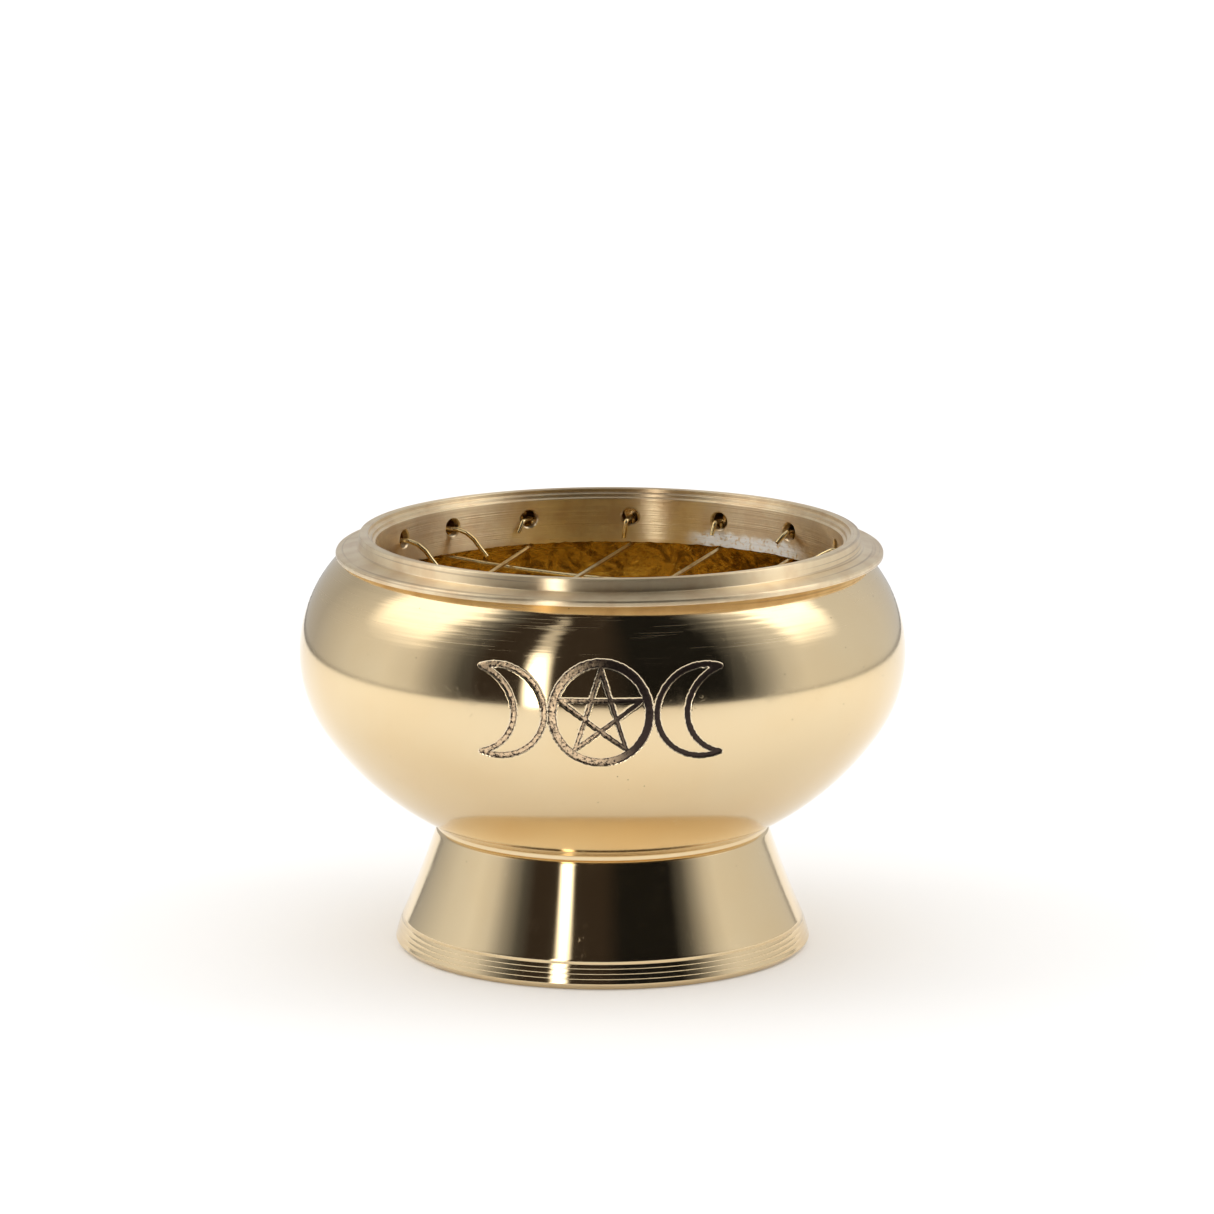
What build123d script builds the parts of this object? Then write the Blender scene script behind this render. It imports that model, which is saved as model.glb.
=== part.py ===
"""Small brass screen censer: a round bowl on a flared foot, with a loose wire screen in its mouth.

The origin is the centre of the ring that the foot stands on. +Z is up, and the engraved
emblem faces -Y. Angles around the screen are turned from +Y towards +X, as on a compass.
"""

import os
from math import acos, asin, cos, degrees, radians, sin, sqrt, tan

from build123d import *

# ---- driving dimensions, millimetres and degrees -------------------------------------------

BOWL_R = 38.0  # belly, the widest place
BELLY_Z = 37.5
BELLY_CURVE = 16.8  # arc from the lip down past the belly
BELLY_TURN = 34.4  # angle below the belly where the underside's flatter arc begins
UNDERSIDE_CURVE = 36.5
WALL = 2.2  # cast wall of the bowl
LIP_Z = 49.65  # flat lip that the screen's flange rests on
LIP_EDGE = 0.3  # broken edge outside the lip
MOUTH_R = 31.8  # turned bore of the mouth
FLOOR_Z = 18.6  # floor inside the bowl
NECK_R = 21.0
NECK_Z = 15.15  # joint between bowl and foot
NECK_LAND = 0.5  # short upright land above the joint
COVE_WIDTH = 0.25  # hollow between the land and the underside
COVE_CURVE = 0.35

FOOT_REST_R = 25.4  # outer edge of the ring that touches the table
FOOT_REST_W = 1.9
BAND_R = 26.15  # widest place of the foot
BAND_Z = 1.05
BAND_TOP_R = 25.35
BAND_TOP_Z = 3.2
FLARE_MIDDLE = (22.95, 9.1)  # the foot's side is very slightly hollow
FOOT_TOP_EDGE = 0.2  # broken edge at the top of the foot
GROOVE_COUNT = 3  # turned lines round the band
GROOVE_DEPTH = 0.12
GROOVE_W = 0.2
DECK = 3.2  # web across the top of the foot
DECK_R = 17.8
SPIGOT_R = 4.0  # threaded spigot under the bowl, screwed into the foot
SPIGOT_LENGTH = 3.0
SPIGOT_PLAY = 0.05

RIM_TOP_Z = 52.5
RIM_INNER_R = 30.15
RIM_OUTER_R = 31.25
RIM_FOOT_R = 31.5  # the upright rim is slightly tapered
RIM_STEP_Z = 50.9  # where the upright rim meets the flange
FLANGE_R = 34.25
FLANGE_TOP_Z = 50.4
FLANGE_EDGE = 0.18
SKIRT_INNER_R = 29.25
SKIRT_OUTER_R = 30.2
SKIRT_Z = 45.6
SKIRT_EDGE = 0.2  # filed edge that the wires bend round
THROAT_Z = 51.4  # foot of the bevel inside the rim
RELIEF_R = 31.3  # groove under the flange, clear of the holes
RELIEF_Z = 50.15
TURNED_EDGE = 0.1
SCREEN_SHIFT = 0.87  # the screen is loose and lies a little to +X of the bowl's axis

# The holes were drilled by eye: angles from +Y towards +X.
HOLE_ANGLES = (
    (5.3, 28.8, 51.7, 77.0)
    + (99.0, 121.0, 143.0, 165.0, 187.0, 209.0, 231.0, 253.0, 275.0)
    + (297.0, 316.6, 339.2)
)
HOLE_R = 1.12
HOLE_SINK = 0.16  # broken edge round each hole, inside
HOLE_Z = 49.0

WIRE_R = 0.3
WIRE_GAP = 0.04  # air between a wire and the skirt
WIRE_CORNER = 0.55  # bend radius where a wire turns round the skirt
WIRE_RISE = 0.1  # a wire enters its hole this far below the middle and leaves it this far above
ELBOW = 0.55  # from the skirt's inner face to the bend of a wire's end
UNDER_SAG = 1.9  # how far the lower four wires hang down in the middle

EMBLEM_X = -0.2
EMBLEM_Z = 37.25
RING_OUTER_R = 6.55
RING_INNER_R = 5.5
STAR_R = 5.4
STAR_LINE = 0.6
MOON_HORN = (14.4, 5.2)  # tip of a crescent, from the emblem's centre
MOON_BACK_X = 6.85  # full side of a crescent
MOON_HOLLOW_X = 10.4  # hollow side
MOON_LINE = 0.75
ENGRAVE_DEPTH = 0.28
EMBLEM_BAND = 8.0  # the engraving lies within this height above and below its centre

# ---- the bowl's two arcs, centres in (radius, height) --------------------------------------

belly_centre = Vector(BOWL_R - BELLY_CURVE, BELLY_Z)
towards_rim = Vector(-cos(radians(BELLY_TURN)), sin(radians(BELLY_TURN)))
underside_centre = belly_centre + towards_rim * (UNDERSIDE_CURVE - BELLY_CURVE)


def belly_angle(inset, height):
    """Angle above the belly at which the arc, inset from the outside, reaches a height."""
    return degrees(asin((height - belly_centre.Y) / (BELLY_CURVE - inset)))


def underside_angle(inset, radius):
    """Angle below the horizontal at which the underside's arc reaches a radius."""
    return degrees(acos((radius - underside_centre.X) / (UNDERSIDE_CURVE - inset)))


# ---- bowl ----------------------------------------------------------------------------------


def engraved_lines():
    """Ring with a five-pointed star between two crescents, in the emblem's own plane."""
    star = [
        (STAR_R * sin(radians(144 * point)), STAR_R * cos(radians(144 * point)))
        for point in range(5)
    ]
    horn_x, horn_z = MOON_HORN
    with BuildSketch(Plane.XY) as lines:
        Circle(RING_OUTER_R)
        Circle(RING_INNER_R, mode=Mode.SUBTRACT)
        for tip, next_tip in zip(star, star[1:] + star[:1]):
            with BuildLine():
                Line(tip, next_tip)
            trace(line_width=STAR_LINE)
        for side in (-1, 1):
            for middle_x in (MOON_BACK_X, MOON_HOLLOW_X):
                with BuildLine():
                    ThreePointArc(
                        (side * horn_x, horn_z), (side * middle_x, 0), (side * horn_x, -horn_z)
                    )
                trace(line_width=MOON_LINE)
    return lines.sketch


emblem_plane = Plane((EMBLEM_X, -BOWL_R - 2, EMBLEM_Z), x_dir=(1, 0, 0), z_dir=(0, -1, 0))

with BuildPart() as engraving:
    with BuildSketch(emblem_plane):
        add(engraved_lines())
    extrude(amount=-12)
    with BuildSketch(Plane.XZ):
        with Locations((belly_centre.X, EMBLEM_Z)):
            Rectangle(2 * BELLY_CURVE, 2 * EMBLEM_BAND, align=(Align.MIN, Align.CENTER))
        with Locations(belly_centre):
            Circle(BELLY_CURVE - ENGRAVE_DEPTH, mode=Mode.SUBTRACT)
    revolve(axis=Axis.Z, mode=Mode.INTERSECT)

with BuildPart() as bowl:
    with BuildSketch(Plane.XZ):
        with BuildLine():
            lip_turn = belly_angle(0, LIP_Z - LIP_EDGE)
            belly = CenterArc(belly_centre, BELLY_CURVE, lip_turn, -lip_turn - BELLY_TURN)
            cove_turn = underside_angle(0, NECK_R + COVE_WIDTH)
            underside = CenterArc(
                underside_centre, UNDERSIDE_CURVE, -BELLY_TURN, BELLY_TURN - cove_turn
            )
            land_top = (NECK_R, NECK_Z + NECK_LAND)
            RadiusArc(underside @ 1, land_top, -COVE_CURVE)

            mouth_turn = degrees(acos((MOUTH_R - belly_centre.X) / (BELLY_CURVE - WALL)))
            inside = CenterArc(
                belly_centre, BELLY_CURVE - WALL, mouth_turn, -mouth_turn - BELLY_TURN
            )
            floor_turn = degrees(
                asin((underside_centre.Y - FLOOR_Z) / (UNDERSIDE_CURVE - WALL))
            )
            inside_low = CenterArc(
                underside_centre, UNDERSIDE_CURVE - WALL, -BELLY_TURN, BELLY_TURN - floor_turn
            )
            lip_outer = belly @ 0
            Polyline(
                inside @ 0, (MOUTH_R, LIP_Z), (lip_outer.X - LIP_EDGE, LIP_Z), lip_outer
            )
            Polyline(land_top, (NECK_R, NECK_Z), (0, NECK_Z), (0, FLOOR_Z), inside_low @ 1)
        make_face()
    revolve(axis=Axis.Z)
    with Locations((0, 0, NECK_Z)):
        Cylinder(SPIGOT_R, SPIGOT_LENGTH, align=(Align.CENTER, Align.CENTER, Align.MAX))
    add(engraving.part, mode=Mode.SUBTRACT)

# ---- foot ----------------------------------------------------------------------------------

with BuildPart() as foot:
    with BuildSketch(Plane.XZ):
        with BuildLine():
            ThreePointArc(
                (NECK_R, NECK_Z - FOOT_TOP_EDGE), FLARE_MIDDLE, (BAND_TOP_R, BAND_TOP_Z)
            )
            Polyline(
                (BAND_TOP_R, BAND_TOP_Z),
                (BAND_R, BAND_Z),
                (FOOT_REST_R, 0),
                (FOOT_REST_R - FOOT_REST_W, 0),
                (DECK_R, NECK_Z - DECK),
                (0, NECK_Z - DECK),
                (0, NECK_Z),
                (NECK_R - FOOT_TOP_EDGE, NECK_Z),
                (NECK_R, NECK_Z - FOOT_TOP_EDGE),
            )
        make_face()
    revolve(axis=Axis.Z)
    with Locations((0, 0, NECK_Z)):
        Hole(SPIGOT_R + SPIGOT_PLAY, depth=DECK + 1)
    for groove in range(1, GROOVE_COUNT + 1):
        share = groove / (GROOVE_COUNT + 1)
        groove_r = BAND_R + share * (BAND_TOP_R - BAND_R)
        groove_z = BAND_Z + share * (BAND_TOP_Z - BAND_Z)
        with BuildSketch(Plane.XZ):
            with Locations((groove_r, groove_z)):
                Rectangle(2 * GROOVE_DEPTH, GROOVE_W)
        revolve(axis=Axis.Z, mode=Mode.SUBTRACT)

# ---- screen collar -------------------------------------------------------------------------

screen_centre = Vector(SCREEN_SHIFT, 0, 0)


def outward(angle):
    """Unit vector from the screen's axis towards a hole."""
    return Vector(sin(radians(angle)), cos(radians(angle)), 0)


with BuildPart() as screen_collar:
    with BuildSketch(Plane.XZ.move(Location(screen_centre))):
        with BuildLine():
            Polyline(
                (SKIRT_INNER_R, SKIRT_Z),
                (SKIRT_INNER_R, THROAT_Z),
                (RIM_INNER_R, RIM_TOP_Z - 2 * TURNED_EDGE),
                (RIM_INNER_R + TURNED_EDGE, RIM_TOP_Z),
                (RIM_OUTER_R - TURNED_EDGE, RIM_TOP_Z),
                (RIM_OUTER_R, RIM_TOP_Z - TURNED_EDGE),
                (RIM_FOOT_R, RIM_STEP_Z),
                (FLANGE_R - FLANGE_EDGE, FLANGE_TOP_Z),
                (FLANGE_R, FLANGE_TOP_Z - FLANGE_EDGE),
                (FLANGE_R, LIP_Z + FLANGE_EDGE),
                (FLANGE_R - FLANGE_EDGE, LIP_Z),
                (RELIEF_R, LIP_Z),
                (RELIEF_R, RELIEF_Z),
                (SKIRT_OUTER_R, RELIEF_Z),
                (SKIRT_OUTER_R, SKIRT_Z + SKIRT_EDGE),
                (SKIRT_OUTER_R - SKIRT_EDGE, SKIRT_Z),
                close=True,
            )
        make_face()
    revolve(axis=Axis(screen_centre, (0, 0, 1)))
    for angle in HOLE_ANGLES:
        hole_mouth = screen_centre + outward(angle) * (SKIRT_INNER_R - 0.1)
        with Locations(Plane(hole_mouth + Vector(0, 0, HOLE_Z), z_dir=-outward(angle))):
            CounterSinkHole(HOLE_R, HOLE_R + HOLE_SINK + 0.1, depth=2, counter_sink_angle=90)

# ---- screen wires --------------------------------------------------------------------------


def laced_wire(near_hole, far_hole, sag, near_stub, far_stub):
    """Points of one wire: in at a hole, down the skirt, across below it, and up to the other.

    A stub is (reach, drop, side): how far the wire's end runs in past the skirt, how far it
    is bent down, and how far it is bent aside.
    """
    start = outward(near_hole) * SKIRT_INNER_R
    end = outward(far_hole) * SKIRT_INNER_R
    middle = (start + end) * 0.5
    along = (end - start).normalized()
    aside = along.cross(Vector(0, 0, 1))
    inside_s = sqrt(SKIRT_INNER_R**2 - middle.length**2)
    outside_s = sqrt((SKIRT_OUTER_R + WIRE_R + WIRE_GAP) ** 2 - middle.length**2)
    low_z = SKIRT_Z - WIRE_R - WIRE_GAP

    def place(s, z, side=0.0):
        return screen_centre + middle + along * s + aside * side + Vector(0, 0, z)

    def hooked_end(sign, stub):
        reach, drop, side = stub
        return [
            place(sign * (inside_s - reach), HOLE_Z + WIRE_RISE - drop, side),
            place(sign * (inside_s - ELBOW), HOLE_Z + WIRE_RISE),
            place(sign * outside_s, HOLE_Z - WIRE_RISE),
            place(sign * outside_s, low_z),
        ]

    hanging = [
        place(share * outside_s, low_z - sag * (1 - share**2))
        for share in (-0.55, 0, 0.55)
        if sag
    ]
    return hooked_end(-1, near_stub) + hanging + hooked_end(1, far_stub)[::-1]


def bend_radii(points):
    """One radius for each inner point: tight at the skirt, wide along a hanging span."""
    radii = []
    for before, here, after in zip(points, points[1:], points[2:]):
        turn = (here - before).get_angle(after - here)
        shorter = min((here - before).length, (after - here).length)
        widest = 0.45 * shorter / tan(radians(turn / 2))
        radii.append(min(widest, WIRE_CORNER) if turn > 20 else widest)
    return radii


SHORT = (1.15, 1.5, 0.25)
BENT = (1.6, 1.7, -1.0)
DOWN = (0.9, 2.8, -0.6)
ASIDE = (1.1, 1.8, -0.6)
FLAT = (2.0, 1.25, -1.0)
LONG = (3.5, 2.0, 0.0)
TAIL = (4.5, 3.6, 0.3)
wires = {
    "screen_wire_over_1": (10, 15, 0, SHORT, BENT),
    "screen_wire_over_2": (9, 0, 0, SHORT, DOWN),
    "screen_wire_over_3": (8, 1, 0, SHORT, ASIDE),
    "screen_wire_over_4": (7, 2, 0, SHORT, FLAT),
    "screen_wire_under_1": (3, 14, UNDER_SAG, LONG, TAIL),
    "screen_wire_under_2": (4, 13, UNDER_SAG, SHORT, TAIL),
    "screen_wire_under_3": (5, 12, UNDER_SAG, SHORT, SHORT),
    "screen_wire_under_4": (6, 11, UNDER_SAG, SHORT, SHORT),
}

# ---- label and write every piece -----------------------------------------------------------

os.makedirs("parts", exist_ok=True)

bowl.part.label = "bowl"
export_step(bowl.part, "parts/bowl.step")
foot.part.label = "foot"
export_step(foot.part, "parts/foot.step")
screen_collar.part.label = "screen_collar"
export_step(screen_collar.part, "parts/screen_collar.step")

for name, (near, far, sag, near_stub, far_stub) in wires.items():
    route = laced_wire(HOLE_ANGLES[near], HOLE_ANGLES[far], sag, near_stub, far_stub)
    with BuildPart() as screen_wire:
        with BuildLine() as centre_line:
            FilletPolyline(*route, radius=bend_radii(route))
        path = centre_line.wire()
        with BuildSketch(Plane(path @ 0, z_dir=path % 0)):
            Circle(WIRE_R)
        sweep(path=path)
    screen_wire.part.label = name
    export_step(screen_wire.part, f"parts/{name}.step")
    print(name, "length", round(path.length, 1))
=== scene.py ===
"""Looks for the brass screen censer: lathe-turned meshes, engraving, bent wires and a soft studio."""

import math

import bmesh
import bpy
import numpy as np
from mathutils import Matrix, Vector, noise


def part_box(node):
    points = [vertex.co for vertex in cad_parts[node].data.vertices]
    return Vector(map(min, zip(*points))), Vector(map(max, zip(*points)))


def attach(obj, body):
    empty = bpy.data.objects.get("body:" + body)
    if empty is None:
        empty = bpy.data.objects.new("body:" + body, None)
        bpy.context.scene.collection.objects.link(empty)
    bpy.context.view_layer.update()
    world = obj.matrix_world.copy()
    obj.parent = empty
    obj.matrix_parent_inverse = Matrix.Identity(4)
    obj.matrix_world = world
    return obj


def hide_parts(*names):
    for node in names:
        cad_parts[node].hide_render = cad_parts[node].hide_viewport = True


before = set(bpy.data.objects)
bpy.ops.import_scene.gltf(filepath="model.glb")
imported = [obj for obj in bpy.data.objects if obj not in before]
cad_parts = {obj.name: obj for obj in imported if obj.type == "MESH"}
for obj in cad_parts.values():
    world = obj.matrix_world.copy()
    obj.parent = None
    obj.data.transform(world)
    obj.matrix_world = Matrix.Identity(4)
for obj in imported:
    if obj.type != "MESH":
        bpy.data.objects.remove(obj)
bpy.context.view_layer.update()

MM = 0.001
TURN = 2 * math.pi

# ---- sizes in metres: the frame's own boxes first, then the design's curves -----------------

bowl_low, bowl_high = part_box("bowl")
foot_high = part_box("foot")[1]
collar_low, collar_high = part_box("screen_collar")

BOWL_R = bowl_high.x
LIP_Z = bowl_high.z
NECK_Z = foot_high.z
BAND_R = foot_high.x
RIM_TOP_Z = collar_high.z
SKIRT_Z = collar_low.z
FLANGE_R = (collar_high.x - collar_low.x) / 2
SCREEN_X = (collar_high.x + collar_low.x) / 2

BELLY_Z = 37.5 * MM
BELLY_CURVE = 16.8 * MM
BELLY_TURN = math.radians(34.4)
UNDERSIDE_CURVE = 36.5 * MM
WALL = 2.2 * MM
MOUTH_R = 31.8 * MM
FLOOR_Z = 18.6 * MM
NECK_R = 21.0 * MM
NECK_LAND = 0.5 * MM
COVE_WIDTH = 0.25 * MM
SPIGOT_R = 4.0 * MM
SPIGOT_Z = bowl_low.z

EMBLEM_X = -0.2 * MM
EMBLEM_Z = 37.25 * MM
EMBLEM_HALF_WIDTH = 15.9 * MM
EMBLEM_HALF_HEIGHT = 7.2 * MM
EMBLEM_ROW = 0.11 * MM
EMBLEM_COLUMN = 0.115 * MM
EMBLEM_LAYER = 1.6 * MM  # the emblem's part of the bowl lies within this of the widest radius
ENGRAVE_DEPTH = 0.26 * MM
ENGRAVE_WALL = 0.14 * MM
NO_LINE_NEAR = 5 * MM


# ---- profiles: lists of (radius, height) ---------------------------------------------------


def arc(centre, radius, start, end, steps):
    """Points on a circle in the (radius, height) plane, angles above the horizontal."""
    return [
        (
            centre[0] + radius * math.cos(start + (end - start) * k / steps),
            centre[1] + radius * math.sin(start + (end - start) * k / steps),
        )
        for k in range(steps + 1)
    ]


def curve(start, pull, end, steps):
    """Points on a quadratic curve from start to end that bends towards pull."""
    shares = [k / steps for k in range(steps + 1)]
    return [start * (1 - t) ** 2 + pull * 2 * t * (1 - t) + end * t**2 for t in shares]


def rounded(corners, radii, steps=4):
    """A polyline with each inner corner replaced by a small arc."""
    points = [corners[0]]
    for before, here, after, radius in zip(corners, corners[1:], corners[2:], radii):
        a = Vector(before) - Vector(here)
        b = Vector(after) - Vector(here)
        half = a.angle(b) / 2
        if radius == 0 or half > math.radians(88):
            points.append(here)
            continue
        reach = min(radius / math.tan(half), 0.45 * a.length, 0.45 * b.length)
        start = Vector(here) + a.normalized() * reach
        end = Vector(here) + b.normalized() * reach
        points += [(p.x, p.y) for p in curve(start, Vector(here), end, steps)]
    points.append(corners[-1])
    return points


def spaced(points, step):
    """The same outline with its long straight runs divided."""
    out = [points[0]]
    for a, b in zip(points, points[1:]):
        n = max(1, math.ceil(math.dist(a, b) / step))
        for k in range(1, n + 1):
            out.append((a[0] + (b[0] - a[0]) * k / n, a[1] + (b[1] - a[1]) * k / n))
    return out


def lathe(name, profile, angles, centre_x=0.0, closed=False, cast=()):
    """A turned mesh. Points on the axis become poles. Each vertex keeps its distance along the
    profile, and 1 in rough_cast where the profile point's index is in cast."""
    verts, faces, columns = [], [], []
    along, rough = [], []
    travelled = [0.0]
    for a, b in zip(profile, profile[1:]):
        travelled.append(travelled[-1] + math.dist(a, b))
    poles = {}

    def add_vertex(j, point):
        verts.append(point)
        along.append(travelled[j])
        rough.append(1.0 if j in cast else 0.0)
        return len(verts) - 1

    for j, (r, z) in enumerate(profile):
        if r < 1e-9:
            poles[j] = add_vertex(j, (centre_x, 0.0, z))
    for angle in angles:
        column = []
        for j, (r, z) in enumerate(profile):
            if j in poles:
                column.append(poles[j])
            else:
                point = (centre_x + r * math.sin(angle), -r * math.cos(angle), z)
                column.append(add_vertex(j, point))
        columns.append(column)
    n = len(profile)
    for left, right in zip(columns, columns[1:] + columns[:1]):
        for j in range(n if closed else n - 1):
            k = (j + 1) % n
            quad = [left[j], right[j], right[k], left[k]]
            faces.append(list(dict.fromkeys(quad)))
    mesh = bpy.data.meshes.new(name)
    mesh.from_pydata(verts, [], faces)
    for key, values in (("along", along), ("rough_cast", rough)):
        mesh.attributes.new(key, "FLOAT", "POINT").data.foreach_set("value", values)
    piece = bpy.data.objects.new(name, mesh)
    bpy.context.scene.collection.objects.link(piece)
    bm = bmesh.new()
    bm.from_mesh(mesh)
    bmesh.ops.recalc_face_normals(bm, faces=bm.faces)
    bm.to_mesh(mesh)
    bm.free()
    mesh.shade_smooth()
    return piece


def even_angles(count):
    """Columns evenly spaced round the axis."""
    return [TURN * k / count for k in range(count)]


# ---- emblem --------------------------------------------------------------------------------


def arc_distance(x, z, horn, middle_x):
    """Distance to the circular arc from horn (x, z) over (middle_x, 0) to (x, -z)."""
    horn_x, horn_z = horn
    span = middle_x - horn_x
    centre = (middle_x + horn_x) / 2 - horn_z**2 / (2 * span)
    radius = abs(middle_x - centre)
    side = np.sign(middle_x - centre)
    half = math.atan2(horn_z, (horn_x - centre) * side)
    angle = np.arctan2(z, (x - centre) * side)
    on_arc = np.abs(np.hypot(x - centre, z) - radius)
    to_horn = np.hypot(x - horn_x, np.abs(z) - horn_z)
    return np.where(np.abs(angle) <= half, on_arc, to_horn)


def segment_distance(x, z, a, b):
    """Distance to the straight line from a to b."""
    ax, az = a
    dx, dz = b[0] - ax, b[1] - az
    t = np.clip(((x - ax) * dx + (z - az) * dz) / (dx * dx + dz * dz), 0, 1)
    return np.hypot(x - ax - t * dx, z - az - t * dz)


RING_R = 6.09 * MM
RING_HALF = 0.5 * MM
RING_NARROW = 0.965  # the ring is this much narrower than it is high
STAR_R = 5.4 * MM
STAR_HALF = 0.27 * MM
MOON_HORN = (14.35 * MM, 5.25 * MM)
MOON_BACK_X = 6.8 * MM
MOON_HOLLOW_X = 10.45 * MM
MOON_HALF = 0.34 * MM


def emblem_distance(x, z):
    """Signed distance to the engraved lines, negative inside them."""
    ring_x = x / RING_NARROW
    found = np.abs(np.hypot(ring_x, z) - RING_R) - RING_HALF
    tips = [
        (STAR_R * math.sin(TURN * 2 * k / 5), STAR_R * math.cos(TURN * 2 * k / 5)) for k in range(5)
    ]
    for a, b in zip(tips, tips[1:] + tips[:1]):
        found = np.minimum(found, segment_distance(ring_x, z, a, b) - STAR_HALF)
    for side in (-1, 1):
        horn = (side * MOON_HORN[0], MOON_HORN[1])
        for middle_x in (MOON_BACK_X, MOON_HOLLOW_X):
            found = np.minimum(found, arc_distance(x, z, horn, side * middle_x) - MOON_HALF)
    return found


def engrave(piece):
    """Sinks the emblem into the front of the bowl and stores the distance to its lines."""
    mesh = piece.data
    co = np.empty(len(mesh.vertices) * 3)
    mesh.vertices.foreach_get("co", co)
    co = co.reshape(-1, 3)
    x, z = co[:, 0] - EMBLEM_X, co[:, 2] - EMBLEM_Z
    radius = np.hypot(co[:, 0], co[:, 1])
    front = (co[:, 1] < 0) & (radius > BOWL_R - EMBLEM_LAYER)
    near = front & (np.abs(x) < EMBLEM_HALF_WIDTH) & (np.abs(z) < EMBLEM_HALF_HEIGHT)
    distance = np.full(len(co), NO_LINE_NEAR)
    chatter = np.zeros(len(co))
    for i in np.flatnonzero(near):
        p = Vector(co[i])
        chatter[i] = 0.07 * noise.noise(p * 2600) + 0.05 * noise.noise(p * 6500)
    distance[near] = emblem_distance(x[near], z[near]) + chatter[near] * MM
    wall = np.clip(-distance / ENGRAVE_WALL + 0.35, 0, 1)
    depth = ENGRAVE_DEPTH * (wall * wall * (3 - 2 * wall)) * (1 + 1.6 * chatter)
    depth[~near] = 0
    away = co[:, :2] / np.maximum(radius, 1e-9)[:, None]
    co[:, :2] -= away * depth[:, None]
    mesh.vertices.foreach_set("co", co.ravel())
    mesh.update()
    kept = mesh.attributes.new("line_distance", "FLOAT", "POINT")
    kept.data.foreach_set("value", (distance / MM).astype(np.float32))


# ---- bowl ----------------------------------------------------------------------------------


def bowl_profile():
    """From the floor's middle, up inside, over the lip, down outside and in to the spigot."""
    belly = (BOWL_R - BELLY_CURVE, BELLY_Z)
    under = (
        belly[0] - math.cos(BELLY_TURN) * (UNDERSIDE_CURVE - BELLY_CURVE),
        belly[1] + math.sin(BELLY_TURN) * (UNDERSIDE_CURVE - BELLY_CURVE),
    )
    floor_turn = math.asin((under[1] - FLOOR_Z) / (UNDERSIDE_CURVE - WALL))
    mouth_turn = math.acos((MOUTH_R - belly[0]) / (BELLY_CURVE - WALL))
    cove_turn = math.acos((NECK_R + COVE_WIDTH - under[0]) / UNDERSIDE_CURVE)
    lip_edge = 0.3 * MM
    lip_turn = math.asin((LIP_Z - lip_edge - belly[1]) / BELLY_CURVE)
    inside = arc(under, UNDERSIDE_CURVE - WALL, -floor_turn, -BELLY_TURN, 10)
    inside += arc(belly, BELLY_CURVE - WALL, -BELLY_TURN, mouth_turn, 16)[1:]
    outer_lip = arc(belly, BELLY_CURVE, lip_turn, lip_turn, 1)[0]
    lip = rounded(
        [
            (MOUTH_R, inside[-1][1] + 0.4 * MM),
            (MOUTH_R, LIP_Z),
            (outer_lip[0] - lip_edge, LIP_Z),
            outer_lip,
            arc(belly, BELLY_CURVE, lip_turn - 0.02, lip_turn - 0.02, 1)[0],
        ],
        [0.12 * MM, 0.12 * MM, 0.1 * MM],
    )
    emblem_top = math.asin((EMBLEM_Z + EMBLEM_HALF_HEIGHT - belly[1]) / BELLY_CURVE)
    emblem_low = math.asin((EMBLEM_Z - EMBLEM_HALF_HEIGHT - belly[1]) / BELLY_CURVE)
    fine_rows = round((emblem_top - emblem_low) * BELLY_CURVE / EMBLEM_ROW)
    outside = arc(belly, BELLY_CURVE, lip_turn - 0.06, emblem_top, 10)
    outside += arc(belly, BELLY_CURVE, emblem_top, emblem_low, fine_rows)[1:]
    outside += arc(belly, BELLY_CURVE, emblem_low, -BELLY_TURN, 4)[1:]
    outside += arc(under, UNDERSIDE_CURVE, -BELLY_TURN, -cove_turn, 20)[1:]
    cove = rounded(
        [
            outside[-1],
            (NECK_R, NECK_Z + NECK_LAND),
            (NECK_R, NECK_Z + 0.1 * MM),
            (NECK_R - 0.06 * MM, NECK_Z),
            (SPIGOT_R, NECK_Z),
            (SPIGOT_R, SPIGOT_Z),
            (0.0, SPIGOT_Z),
        ],
        [0.16 * MM, 0.06 * MM, 0.03 * MM, 0, 0.15 * MM],
    )
    hidden = range(len(inside) - 1)
    return [(0.0, FLOOR_Z)] + inside + lip + outside + cove[1:], hidden


def bowl_angles():
    """Columns that are close together across the emblem and wider elsewhere."""
    reach = math.asin(EMBLEM_HALF_WIDTH / BOWL_R)
    fine = round(2 * reach * BOWL_R / EMBLEM_COLUMN)
    coarse = 150
    front = [-reach + 2 * reach * k / fine for k in range(fine)]
    return front + [reach + (TURN - 2 * reach) * k / coarse for k in range(coarse)]


bowl_outline, bowl_inside = bowl_profile()
bowl = lathe("bowl_body", bowl_outline, bowl_angles(), cast=bowl_inside)
engrave(bowl)
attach(bowl, "burner")
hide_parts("bowl")


# ---- foot ----------------------------------------------------------------------------------

FOOT_REST_R = 25.4 * MM
FOOT_REST_W = 1.9 * MM
BAND_Z = 0.75 * MM
BAND_TOP_R = 25.4 * MM
BAND_TOP_Z = 3.2 * MM
FLARE_MIDDLE = (22.95 * MM, 9.1 * MM)
FOOT_TOP_EDGE = 0.4 * MM
DECK_Z = NECK_Z - 3.2 * MM
DECK_R = 17.8 * MM
SPIGOT_HOLE_R = SPIGOT_R + 0.05 * MM
FOOT_STEP = 0.6 * MM
BAND_GROOVE = (  # corners of one turned groove, as (outwards, up) from the band's straight line
    (0.02 * MM, -0.14 * MM),
    (-0.01 * MM, -0.04 * MM),
    (-0.02 * MM, 0.03 * MM),
    (-0.02 * MM, 0.13 * MM),
)


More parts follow.
